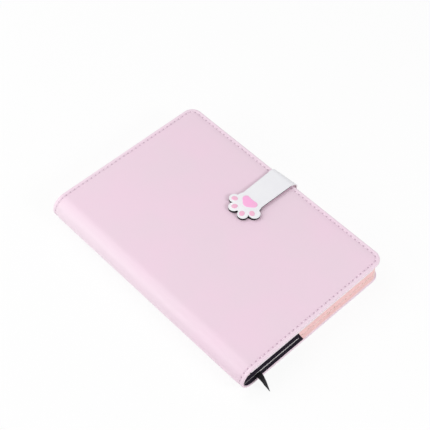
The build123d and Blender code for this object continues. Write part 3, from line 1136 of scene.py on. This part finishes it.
def outline_piece(name, outline, bottom, top):
    """A flat piece with the given outline."""
    piece = add_shape(
        name, bpy.ops.mesh.primitive_circle_add, vertices=len(outline), fill_type="NGON"
    )
    for vertex, point in zip(piece.data.vertices, outline):
        vertex.co = (*point, bottom)
    edit(piece)
    bpy.ops.mesh.select_all(action="SELECT")
    extrude(0, 0, top - bottom)
    face_outward()
    done()
    return piece


def soften(piece, level, width):
    """Rounds the outline's edge at one height, but not across the fold's end."""
    def on_edge(edge):
        flat = all(abs(vertex.co.z - level) < 0.001 for vertex in edge.verts)
        return flat and not all(vertex.co.x > FOLD.x - 0.01 for vertex in edge.verts)

    edit(piece)
    pick(piece, "EDGE", on_edge)
    bpy.ops.mesh.bevel(offset=width, segments=3, profile=0.5, clamp_overlap=True)
    done()


def turn_down_edge(piece):
    """A rim along the paw's outline, turned down over the layers below the face."""
    def underneath(face):
        return face.normal.z < -0.9

    def in_rim(face):
        return underneath(face) and len(face.verts) == 4 and face.calc_center_median().x < RIM_END_X

    edit(piece)
    pick(piece, "FACE", underneath)
    bpy.ops.mesh.inset(thickness=RIM_WIDTH, use_even_offset=True)
    pick(piece, "FACE", in_rim)
    extrude(0, 0, RIM_UNDERSIDE - FACE_UNDERSIDE)
    done()


def cut_across(piece):
    """Cuts the arm across so that it can bend."""
    edit(piece)
    for step in range(1, 10):
        cut((ARM_START + (FOLD.x - ARM_START) * step / 10, 0, 0), (1, 0, 0))
    done()


def fold_down(piece):
    """Carries the arm's end round the fold and down beside the fore-edge."""
    def at_end(face):
        return face.normal.x > 0.9 and face.calc_center_median().x > FOLD.x - 0.01

    edit(piece)
    pick(piece, "FACE", at_end)
    bpy.ops.mesh.spin(steps=14, angle=-math.pi / 2, center=FOLD, axis=(0, 1, 0))
    for height in RISER_CUTS:
        mesh = bmesh.from_edit_mesh(piece.data)
        now = min(vertex.co.z for vertex in mesh.verts if vertex.select)
        extrude(0, 0, height - now)
    done()


def tuck_in(piece):
    """Turns the strap's lower end into the back cover, thinned, and on under the leather."""
    def at_end(face):
        return face.normal.z < -0.9 and face.calc_center_median().z < TUCK_TOP_Z

    edit(piece)
    pick(piece, "FACE", at_end)
    bpy.ops.mesh.spin(steps=8, angle=-math.pi / 2, center=TUCK, axis=(0, 1, 0))
    extrude(-TUCK_DEPTH, 0, 0)
    thinned_at = (TUCK.x, 0, SKIVED_Z)
    bpy.ops.transform.resize(value=(1, 1, SKIVED_SHARE), center_override=thinned_at)
    extrude(ANCHOR_END_X - TUCK.x + TUCK_DEPTH, 0, 0)
    done()


def flat_place(at):
    """Place on the strap's flat cut: along it, counted on down the fold and riser, and across."""
    tucked = max(RISER_X - at.x, 0.0) if at.z < TUCK_TOP_Z else 0.0
    if at.x <= FOLD.x and not tucked:
        return at.x * MM, at.y * MM
    return (FOLD.x + FOLD_RUN + (FOLD.z + FOLD_RISE - at.z) + tucked) * MM, at.y * MM


def ease(piece):
    """Settles the arm towards the fold, which stands off the fore-edge and leans to the tail."""
    for vertex in piece.data.vertices:
        at = vertex.co
        along = share(at.x - ARM_START, ARM_SETTLED_X - ARM_START)
        above = share(at.z - DROP_START_Z, FOLD.z - DROP_START_Z)
        height = share(at.z - STRAP_SPLIT, BULGE_TOP_Z - STRAP_SPLIT)
        past_fold = share(at.x - FOLD.x, BULGE_RAMP)
        lean = (1 - at.y / STRAP_HALF) / 2
        bump = BULGE_PEAK * height * height * (1 - height) * past_fold
        at.z -= ARM_DROP * (1 - lean) * eased(along) * above
        at.x += FOLD_BULGE * lean * bump
        at.y -= FOLD_LEAN * bump


def split_off(piece, name):
    """Cuts the strap across its riser and gives the lower part back as a piece of its own."""
    lower = duplicate(piece, name)
    for part, is_lower in ((piece, False), (lower, True)):
        edit(part)
        cut(
            (0, 0, STRAP_SPLIT), (0, 0, 1), clear_outer=is_lower, clear_inner=not is_lower,
            use_fill=True,
        )
        face_outward()
        done()
    return lower


def strap_face(outline):
    """The strap's face, with a rim turned down round the paw."""
    face = outline_piece("strap_face", widen(outline, FACE_OVERHANG), FACE_UNDERSIDE, FACE_TOP)
    soften(face, FACE_TOP, FACE_ROUND)
    turn_down_edge(face)
    return face


def strap_backing(outline):
    """The lining below the face."""
    backing = outline_piece("strap_backing", outline, ARM_UNDERSIDE, FACE_UNDERSIDE - LAYER_GAP)
    soften(backing, ARM_UNDERSIDE, BACKING_ROUND)
    return backing


def make_strap():
    fold_bend = bend_line(FOLD_HINGE, Vector((-SLOPE, 0, SLOPE)), *FOLD_REACH)
    root_bend = bend_line(ROOT, Vector((SLOPE, 0, SLOPE)), ROOT_REACH, ROOT_REACH)
    outline = strap_outline()
    for layer, make_layer, leather, slot in (
        ("face", strap_face, white_leather, "strap_leather"),
        ("backing", strap_backing, strap_lining, "strap_backing"),
    ):
        piece = make_layer(outline)
        cut_across(piece)
        fold_down(piece)
        tuck_in(piece)
        add_map(piece, "hide", [flat_place(vertex.co) for vertex in piece.data.vertices])
        ease(piece)
        for polygon in piece.data.polygons:
            normal = polygon.normal
            in_paw = polygon.center.x < ARM_START
            polygon.material_index = int(abs(normal.z) < 0.35 if in_paw else abs(normal.y) > 0.9)
        root = split_off(piece, f"strap_root_{layer}")
        for part, bodies, bend in (
            (piece, ("strap_riser", "strap_arm"), fold_bend),
            (root, ("back_cover", "strap_riser"), root_bend),
        ):
            finish_piece(part, slot, leather, edge_paint, sharp=35)
            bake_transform(part)
    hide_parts("strap_arm_face", "strap_riser_face")
    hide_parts("strap_arm_backing", "strap_riser_backing")
    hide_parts("strap_anchor")


def toe_pad_outline(toe):
    """An oval that points away from the palm."""
    toe = Vector(toe)
    turn = Matrix.Rotation(math.atan2(toe.y, toe.x), 2)
    half = Vector(TOE_PAD_SIZE) / 2
    points = []
    for step in range(TOE_PAD_STEPS):
        points.append(PALM + toe + turn @ (ray(2 * math.pi * step / TOE_PAD_STEPS) * half))
    return points


def main_pad_outline():
    """Rounded pad with two lobes towards the strap and a blunt crown towards the toes."""
    width = 2 * math.pi / MAIN_PAD_STEPS
    rays = [ray(2 * math.pi * step / MAIN_PAD_STEPS) for step in range(MAIN_PAD_STEPS)]
    reaches = [
        max(Vector(offset).dot(out) + radius for offset, radius in MAIN_PAD_ROUNDS) for out in rays
    ]
    outline = []
    for step, (out, reach) in enumerate(zip(rays, reaches)):
        slope = (reaches[(step + 1) % MAIN_PAD_STEPS] - reaches[step - 1]) / (2 * width)
        point = out * reach + Vector((-out.y, out.x)) * slope
        if point.x > 0:
            point.x -= MAIN_PAD_NOTCH * math.exp(-((point.y / MAIN_PAD_NOTCH_HALF) ** 2))
        outline.append(MAIN_PAD + point)
    return outline


def pillow(name, outline):
    """A low pad sunk in the strap's face, with a soft crown."""
    pad = outline_piece(name, outline, FACE_TOP - PAD_SUNK, FACE_TOP + PAD_WALL)
    edit(pad)
    pick(pad, "FACE", lambda face: face.normal.z > 0.9)
    for width, rise in PAD_CROWN:
        bpy.ops.mesh.inset(thickness=width, use_even_offset=True)
        bpy.ops.transform.translate(value=(0, 0, rise))
    done()
    return pad


def make_pads():
    toes = [pillow("toe_pad", toe_pad_outline(toe)) for toe in TOE_PADS]
    main = pillow("paw_main_pad", main_pad_outline())
    toes = join(toes, "paw_toe_pads")
    for piece, node, material in (
        (main, "main_pad", main_pad_pink), (toes, "toe_pads", toe_pad_pink),
    ):
        finish_piece(piece, "pads", material, sharp=60)
        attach(piece, "strap_arm")
        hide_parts(node)


# Inside of the case

ENDPAPER = 0.2
ENDPAPER_MARGIN = 5.0
ENDPAPER_CORNER = 4.0
ENDPAPER_SPINE_GAP = 0.4

GAUZE = 0.22
GAUZE_RADIUS = 9.35
GAUZE_HALF_TURN = math.radians(42)
GAUZE_HALF_LENGTH = 95.0
GAUZE_RIPPLE = 0.05
GAUZE_GRID = (22, 76)


def make_endpaper(name, node, body, face):
    """A pasted endpaper that leaves a margin of the turned-in leather."""
    low, high = [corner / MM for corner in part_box(node)]
    bottom = high.z - ENDPAPER if face < 0 else low.z
    corner_low = Vector((low.x + ENDPAPER_SPINE_GAP, low.y + ENDPAPER_MARGIN, bottom))
    corner_high = Vector((high.x - ENDPAPER_MARGIN, high.y - ENDPAPER_MARGIN, bottom))
    paper = one_leaf(name, corner_low, corner_high, ENDPAPER, corner=ENDPAPER_CORNER)
    finish_piece(paper, "lining_paper", endpaper, sharp=30)
    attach(paper, body)
    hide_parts(node)


def make_gauze():
    """Open gauze glued over the rounded back of the sections."""
    radius, half_turn, half_length = GAUZE_RADIUS, GAUZE_HALF_TURN, GAUZE_HALF_LENGTH
    sheet = add_shape(
        "back_gauze", bpy.ops.mesh.primitive_grid_add, x_subdivisions=GAUZE_GRID[0],
        y_subdivisions=GAUZE_GRID[1], size=2,
    )
    flat = [(vertex.co.x, vertex.co.y) for vertex in sheet.data.vertices]
    add_map(
        sheet, "strip",
        [(across * half_turn * radius * MM, along * half_length * MM) for across, along in flat],
    )
    for vertex, (across, along) in zip(sheet.data.vertices, flat):
        turn = math.pi - across * half_turn
        ripple = GAUZE_RIPPLE * noise.noise(Vector((across * 2.0, along * 14.0, 0.4)))
        x, z = ray(turn) * (radius + ripple)
        vertex.co = (SPINE_X + x, along * half_length, SPINE_RADIUS + z)
    thicken(sheet, GAUZE, offset=0)
    finish_piece(sheet, "gauze", gauze, sharp=60)
    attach(sheet, "back_cover")
    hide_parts("spine_gauze")


def dress_nodes():
    """Finishes of the solids that stay."""
    finishes = {
        "front_board": grey_board, "back_board": grey_board, "spine_card": grey_board,
        "front_flyleaf": endpaper, "back_flyleaf": endpaper, "paw_core": dark_core,
        "clasp_magnet": magnet_plating, "keeper_plate": keeper_steel,
    }
    for name, material in finishes.items():
        nodes[name].data.materials.clear()
        nodes[name].data.materials.append(material)


# Studio, in metres and watts

CAMERA_TURN = math.radians(-45.41)
CAMERA_RISE = math.radians(52.438)
CAMERA_TILT = math.radians(2.245)
CAMERA_AIM = Vector((0.02186, 0.02283, 0.0))
CAMERA_DISTANCE = 0.90149
CAMERA_LENS = 95.23
FLOOR_GLOW = 0.9
WORLD_LIGHT = 0.4
# Lamps: name, place, aim, size and power
LAMPS = [
    ("overhead", (-0.25, 0.6, 0.95), (0, 0, 0), (1.0, 1.0), 5.4),
    ("spine_side", (-0.95, 0.4, 0.4), (-0.05, 0, 0), (0.9, 0.5), 3.9),
    ("tail_side", (0.2, -0.85, 0.6), (0, -0.05, 0), (0.35, 0.3), 3.8),
]


def make_camera():
    level = math.cos(CAMERA_RISE)
    back = Vector(
        (math.sin(CAMERA_TURN) * level, -math.cos(CAMERA_TURN) * level, math.sin(CAMERA_RISE))
    )
    right = Vector((0, 0, 1)).cross(back).normalized()
    up = back.cross(right)
    across = right * math.cos(CAMERA_TILT) + up * math.sin(CAMERA_TILT)
    upward = up * math.cos(CAMERA_TILT) - right * math.sin(CAMERA_TILT)
    data = bpy.data.cameras.new("studio_camera")
    data.sensor_width = 36.0
    data.lens = CAMERA_LENS
    camera = bpy.data.objects.new("studio_camera", data)
    bpy.context.scene.collection.objects.link(camera)
    place = Matrix((across, upward, back)).transposed().to_4x4()
    place.translation = CAMERA_AIM + back * CAMERA_DISTANCE
    camera.matrix_world = place
    bpy.context.scene.camera = camera


def make_light(name, place, aim, size, watts):
    data = bpy.data.lights.new(name, "AREA")
    data.shape = "RECTANGLE"
    data.size, data.size_y = size
    data.energy = watts
    lamp = bpy.data.objects.new(name, data)
    bpy.context.scene.collection.objects.link(lamp)
    lamp.location = place
    lamp.rotation_euler = (Vector(aim) - Vector(place)).to_track_quat("-Z", "Y").to_euler()


def seen_itself(tree):
    """1 where the background itself is seen, straight, in a shine or through glass; else 0."""
    path = tree.add("ShaderNodeLightPath")
    seen = tree.calc("MAXIMUM", path["Is Camera Ray"], path["Is Glossy Ray"])
    return tree.calc("MAXIMUM", seen, path["Is Transmission Ray"])


def make_studio():
    floor = add_shape("floor", bpy.ops.mesh.primitive_plane_add, size=6, location=(0, 0, -0.0002))
    tree = Surface("white_floor", Roughness=0.9, Base_Color=(0.92, 0.92, 0.92, 1.0))
    glow = tree.add("ShaderNodeEmission", {"Color": (1, 1, 1, 1), "Strength": 1.0})[0]
    seen = tree.times(seen_itself(tree), FLOOR_GLOW)
    mix = tree.add("ShaderNodeMixShader", {0: seen, 1: tree.shader.outputs[0], 2: glow})[0]
    tree.put(tree.tree.nodes["Material Output"].inputs["Surface"], mix)
    floor.data.materials.append(tree.material)

    world = bpy.data.worlds.new("studio")
    bpy.context.scene.world = world
    world.use_nodes = True
    tree = Nodes(world.node_tree)
    soft = world.node_tree.nodes["Background"].inputs
    soft["Color"].default_value = (1, 1, 1, 1)
    strength = tree.calc("MULTIPLY_ADD", seen_itself(tree), 1 - WORLD_LIGHT, WORLD_LIGHT)
    tree.put(soft["Strength"], strength)

    for lamp in LAMPS:
        make_light(*lamp)
    bpy.context.scene.view_settings.view_transform = "Standard"


make_camera()
make_ribbon()
make_case()
make_leaves()
make_strap()
make_pads()
make_endpaper("front_endpaper", "front_lining", "front_cover", 1)
make_endpaper("back_endpaper", "back_lining", "back_cover", -1)
make_gauze()
dress_nodes()
make_studio()
